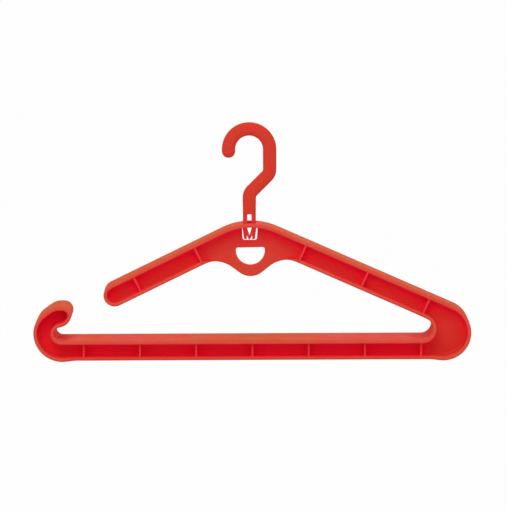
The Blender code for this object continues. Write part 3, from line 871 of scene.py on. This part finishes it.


# The mark places a painted highlight on the ribs' fronts.
places = list(rib_places())
marks = [1.0 if on_rib_front(vertex.co, places) else 0.0 for vertex in skin.data.vertices]
store(skin.data, "rib_front", marks)
print("points on the ribs' fronts:", int(sum(marks)))

# %% Measure how much light reaches each point
SKY = {"rays": 140, "grazing": 0.02, "level": 0.1, "sideways": 0.8, "unlit": 0.6,
       **mm(near=90.0, lift=0.15)}


def sky_directions():
    """Directions spread evenly over the sphere, each with its share of a soft light from above."""
    turn = math.pi * (3 - math.sqrt(5))
    for i in range(SKY["rays"]):
        up = 1 - 2 * (i + 0.5) / SKY["rays"]
        flat = math.sqrt(1 - up * up)
        direction = Vector((flat * math.cos(turn * i), flat * math.sin(turn * i), up))
        light = SKY["level"] + (1 - SKY["level"]) * max(0.0, up)
        yield direction, light * (1 - SKY["sideways"] * abs(direction.x))


def light_values(item, walls):
    """Near 0 deep in a pocket, 1 on an open wall, and up to 2 on a face that looks straight up."""
    directions, values = list(sky_directions()), []
    for vertex in item.data.vertices:
        seen = total = 0.0
        start = vertex.co + vertex.normal * SKY["lift"]
        for direction, light in directions:
            facing = vertex.normal.dot(direction)
            if facing <= SKY["grazing"]:
                continue
            total += facing * light
            if all(wall.ray_cast(start, direction, SKY["near"])[0] is None for wall in walls):
                seen += facing * light
        share = seen / total if total else SKY["unlit"]
        values.append(share * (1 + max(0.0, vertex.normal.z)))
    return values


def wall_of(item):
    solid = solid_of(item)
    tree = BVHTree.FromBMesh(solid)
    solid.free()
    return tree


walls = [wall_of(skin), wall_of(hook)]
for item in (skin, hook):
    daylight = light_values(item, walls)
    store(item.data, "daylight", daylight)
    print(item.name, "daylight from", round(min(daylight), 2), "to", round(max(daylight), 2),
          "mean", round(sum(daylight) / len(daylight), 2))

# %% [markdown]
# ## Red moulded plastic
# Both pieces are dyed polypropylene. The frame has the satin skin of a lightly textured mould, the
# hook is smoother. A node group gives both their fine grain, a faint cloudiness of the dye and the
# slow waviness of a moulded face.

# %% A group for the skin of moulded plastic
def moulded_group():
    group = bpy.data.node_groups.new("moulded_skin", "ShaderNodeTree")
    for way, labels in (("INPUT", ("Grain Size", "Cloud Size", "Grain Share")),
                        ("OUTPUT", ("Cloud", "Relief"))):
        for label in labels:
            group.interface.new_socket(label, in_out=way, socket_type="NodeSocketFloat")
    link = group.links.new
    given, result = node(group, "NodeGroupInput"), node(group, "NodeGroupOutput")
    where = node(group, "ShaderNodeTexCoord")
    grain, cloud = node(group, "ShaderNodeTexNoise"), node(group, "ShaderNodeTexNoise")
    for texture, size, detail in ((grain, "Grain Size", 2.0), (cloud, "Cloud Size", 3.0)):
        texture.inputs["Detail"].default_value = detail
        link(where.outputs["Object"], texture.inputs["Vector"])
        link(given.outputs[size], texture.inputs["Scale"])
    fine = calculate(group, "MULTIPLY", grain.outputs["Fac"], given.outputs["Grain Share"])
    slow = calculate(group, "MULTIPLY", cloud.outputs["Fac"],
                     calculate(group, "SUBTRACT", 1.0, given.outputs["Grain Share"]))
    link(calculate(group, "ADD", fine, slow), result.inputs["Relief"])
    link(cloud.outputs["Fac"], result.inputs["Cloud"])
    return group


moulded = moulded_group()
print("the group", moulded.name, "has", len(moulded.nodes), "nodes")

# %% [markdown]
# ## The dye, with painted light and shade
# A ramp reads the stored daylight and paints light and shade into the colour: painted shade deep red
# in the pockets, painted light paler and warmer on open faces and tops. A faint cloud of the dye lies
# over it, and the ribs' fronts get a painted highlight. What is the same all over a piece is set on the
# shader itself. A faint cloud of the dye lies over it, and the
# ribs' fronts get their own red. What is the same all over a piece is set on the shader itself.

# %% Colours from the stored values
NOISE_RANGE = (0.3, 0.7)


def blend(tree, factor, low, high):
    """Mixes the colour of a socket with a fixed one, by a socket's factor."""
    mix = node(tree, "ShaderNodeMix", data_type="RGBA")
    tree.links.new(factor, mix.inputs[0])
    tree.links.new(low, mix.inputs[6])
    mix.inputs[7].default_value = (*high, 1.0)
    return mix.outputs[2]


def ranged(tree, value, low, high):
    """Spreads a value over low..high, from the range where noise mostly lies."""
    spread = node(tree, "ShaderNodeMapRange")
    tree.links.new(value, spread.inputs["Value"])
    labels = ("From Min", "From Max", "To Min", "To Max")
    for label, number in zip(labels, (*NOISE_RANGE, low, high)):
        spread.inputs[label].default_value = number
    return spread.outputs["Result"]


def attribute(tree, name):
    return node(tree, "ShaderNodeAttribute", attribute_name=name).outputs["Fac"]


def painted_light_ramp(tree, stops):
    """Painted shade and painted light: the colour from deep pockets to faces in full light, as
    (daylight, colour) stops.
    """
    ramp, full_light = node(tree, "ShaderNodeValToRGB"), 2.0
    tree.links.new(calculate(tree, "DIVIDE", attribute(tree, "daylight"), full_light),
                   ramp.inputs["Fac"])
    while len(ramp.color_ramp.elements) < len(stops):
        ramp.color_ramp.elements.new(0.5)
    for element, (light, colour) in zip(ramp.color_ramp.elements, stops):
        element.position = light / full_light
        element.color = (*colour, 1.0)
    return ramp.outputs["Color"]


print("noise is read from", *NOISE_RANGE)

# %% The two plastics
PLASTIC = {
    "IOR": 1.49, "Specular IOR Level": 0.005, "Specular Tint": (1.0, 0.55, 0.42, 1.0),
    "Subsurface Weight": 0.35, "Subsurface Scale": 4.0 * MM, "Subsurface Radius": (1.0, 0.2, 0.1)}
MOULD = {"Cloud Size": 45.0, "Grain Share": 0.35}
CLOUDY, UNEVEN, RELIEF = 0.35, 0.05, 0.1 * MM


def red_plastic(material, stops, cloud_tint, rib_front_highlight, roughness, grain, bump):
    material.use_nodes = True
    tree = material.node_tree
    link, shader = tree.links.new, tree.nodes["Principled BSDF"]
    mould = node(tree, "ShaderNodeGroup", node_tree=moulded)
    relief = node(tree, "ShaderNodeBump")
    for target, values in ((shader, PLASTIC), (mould, {"Grain Size": grain, **MOULD}),
                           (relief, {"Strength": bump, "Distance": RELIEF})):
        for label, value in values.items():
            target.inputs[label].default_value = value
    cloud = mould.outputs["Cloud"]
    # The ramp gives painted shade and painted light, and the dye's cloud lies over it.
    painted_shade_colour = blend(tree, ranged(tree, cloud, 0.0, CLOUDY), painted_light_ramp(tree, stops), cloud_tint)
    # The ribs' fronts get a painted highlight.
    link(blend(tree, attribute(tree, "rib_front"), painted_shade_colour, rib_front_highlight), shader.inputs["Base Color"])
    link(ranged(tree, cloud, roughness - UNEVEN, roughness + UNEVEN), shader.inputs["Roughness"])
    link(mould.outputs["Relief"], relief.inputs["Height"])
    link(relief.outputs["Normal"], shader.inputs["Normal"])
    print(material.name, "has", len(tree.nodes), "nodes and", len(stops), "stops of painted light and shade")


# The frame's stops paint shade and light into the colour: deep red in shaded pockets, paler on lit
# faces, pinker on front edges, orange-brown on tops.
red_plastic(frame_plastic, [
    (0.18, (0.99, 0.007, 0.046)), (0.27, (0.99, 0.010, 0.046)), (0.33, (0.95, 0.015, 0.044)),
    (0.38, (0.93, 0.022, 0.035)), (0.46, (0.81, 0.026, 0.027)), (0.60, (0.71, 0.036, 0.029)),
    (0.76, (0.68, 0.046, 0.032)), (0.96, (0.64, 0.068, 0.038)), (1.03, (0.67, 0.088, 0.058)),
    (1.50, (0.66, 0.080, 0.048)), (1.72, (0.56, 0.085, 0.026)), (1.95, (0.52, 0.080, 0.020))],
    cloud_tint=(0.70, 0.034, 0.034), rib_front_highlight=(0.82, 0.040, 0.052),
    roughness=0.48, grain=1400.0, bump=0.25)
# The hook's stops paint shade and light too: deeper red where little light reaches, paler where it is
# lit.
red_plastic(hook_plastic, [
    (0.18, (0.99, 0.066, 0.068)), (0.31, (0.95, 0.060, 0.060)), (0.46, (0.86, 0.052, 0.046)),
    (0.95, (0.640, 0.051, 0.031)), (1.50, (0.61, 0.047, 0.026)), (1.95, (0.60, 0.042, 0.018))],
    cloud_tint=(0.67, 0.034, 0.020), rib_front_highlight=(0.68, 0.052, 0.032),
    roughness=0.42, grain=1800.0, bump=0.15)

# %% [markdown]
# ## In place of the plain solids
# The skins ride on the same two bodies as the solids, so that the hook's joint turns them too. Only
# faces that meet at a steep angle keep a crisp corner, and all others shade smoothly.

# %% Dress both bodies
CRISP = math.radians(32)


def dress(item, node_name, body, material):
    item.data.materials.clear()
    item.data.materials.append(material)
    item.data.shade_smooth()
    item.data.set_sharp_from_angle(angle=CRISP)
    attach(item, body)
    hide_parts(node_name)
    print(item.name, "takes the place of", node_name)


dress(skin, "hanger_frame", "frame", frame_plastic)
dress(hook, "swivel_hook", "hook", hook_plastic)

# %% [markdown]
# ## Floor and sky
# The photo is a plain catalogue picture on white. The hanger hangs free, so the floor lies well below
# it and only gives soft light from below. Floor and sky look white to the camera and in reflections,
# but they light the hanger at a plain level.

# %% White floor and sky
WHITE = {"paint": 0.86, "roughness": 0.9, "shown": 0.97, "sky": 0.68}
FLOOR = {"size": 30.0, "height": -1.25}


def looked_at(tree):
    """1 for rays from the camera and for reflected or refracted ones, 0 for rays that light."""
    rays = node(tree, "ShaderNodeLightPath").outputs
    bounced = calculate(tree, "MAXIMUM", rays["Is Glossy Ray"], rays["Is Transmission Ray"])
    return calculate(tree, "MAXIMUM", rays["Is Camera Ray"], bounced)


def white_surface(name):
    """Plain pale paint that the camera sees as white, and that is open to views from below."""
    material = bpy.data.materials.new(name)
    material.use_nodes = True
    tree = material.node_tree
    link = tree.links.new
    paint, out = tree.nodes["Principled BSDF"], tree.nodes["Material Output"]
    paint.inputs["Base Color"].default_value = (*[WHITE["paint"]] * 3, 1.0)
    paint.inputs["Roughness"].default_value = WHITE["roughness"]
    glow, below = node(tree, "ShaderNodeEmission"), node(tree, "ShaderNodeBsdfTransparent")
    mix, open_below = node(tree, "ShaderNodeMixShader"), node(tree, "ShaderNodeMixShader")
    link(calculate(tree, "MULTIPLY", looked_at(tree), WHITE["shown"]), mix.inputs["Fac"])
    link(paint.outputs["BSDF"], mix.inputs[1])
    link(glow.outputs["Emission"], mix.inputs[2])
    link(node(tree, "ShaderNodeNewGeometry").outputs["Backfacing"], open_below.inputs["Fac"])
    link(mix.outputs["Shader"], open_below.inputs[1])
    link(below.outputs["BSDF"], open_below.inputs[2])
    link(open_below.outputs["Shader"], out.inputs["Surface"])
    return material


solid = bmesh.new()
bmesh.ops.create_grid(solid, x_segments=1, y_segments=1, size=FLOOR["size"])
bmesh.ops.translate(solid, vec=(0, 0, FLOOR["height"]), verts=solid.verts)
floor = object_from("floor", solid)
floor.data.materials.append(white_surface("pale_floor"))

world = bpy.data.worlds.new("studio")
bpy.context.scene.world = world
world.use_nodes = True
sky = world.node_tree.nodes["Background"]
sky.inputs["Color"].default_value = (1.0, 1.0, 1.0, 1.0)
shown = calculate(world.node_tree, "MULTIPLY", looked_at(world.node_tree), 1 - WHITE["sky"])
world.node_tree.links.new(
    calculate(world.node_tree, "ADD", WHITE["sky"], shown), sky.inputs["Strength"])
print("floor", -FLOOR["height"], "m below the rail, sky at", WHITE["sky"])

# %% [markdown]
# ## Lamps
# Large lamps wrap round moulded plastic without hard shadows. The key lamp in front and above gives
# the pale tops of the bar and arms, a weak one overhead fills in, and one behind lights the rear.

# %% Lamps
LAMPS = {
    "key_light": ((-0.3, -2.1, 1.9), 1.8, 39.0), "top_light": ((0.0, 0.3, 2.2), 1.6, 6.5),
    "back_light": ((0.5, 2.3, 1.3), 1.8, 13.5)}
LAMP_AIM = Vector((0, 0, -0.15))


def look_from(place, aim):
    """The matrix of a lamp or camera that stands at one place and looks at another."""
    facing = (aim - Vector(place)).to_track_quat("-Z", "Y")
    return Matrix.Translation(place) @ facing.to_matrix().to_4x4()


for name, (place, width, power) in LAMPS.items():
    light = bpy.data.lights.new(name, "AREA")
    light.shape = "SQUARE"
    light.size = width
    light.energy = power
    add_object(name, light).matrix_world = look_from(place, LAMP_AIM)
    print(name, "is", width, "m wide and gives", power, "W")

# %% [markdown]
# ## Camera
# In the photo only a narrow strip of each top face shows, and near and far edges are almost as long.
# So the camera stands three metres away, a little above the hanger, with a long lens.

# %% Camera
CAMERA = {"aim": (3.78, 0.0, -132.97), "stand": (3.78, -2957.99, 367.34), "lens": 194.7, "roll": -0.25}

aim, stand = Vector(CAMERA["aim"]) * MM, Vector(CAMERA["stand"]) * MM
lens = bpy.data.cameras.new("camera")
lens.sensor_fit = "HORIZONTAL"
lens.lens = CAMERA["lens"]
camera = add_object("camera", lens)
camera.matrix_world = look_from(stand, aim) @ Matrix.Rotation(math.radians(CAMERA["roll"]), 4, "Z")
bpy.context.scene.camera = camera
bpy.context.scene.view_settings.view_transform = "Standard"
print("the camera stands", round((stand - aim).length, 2), "m away")
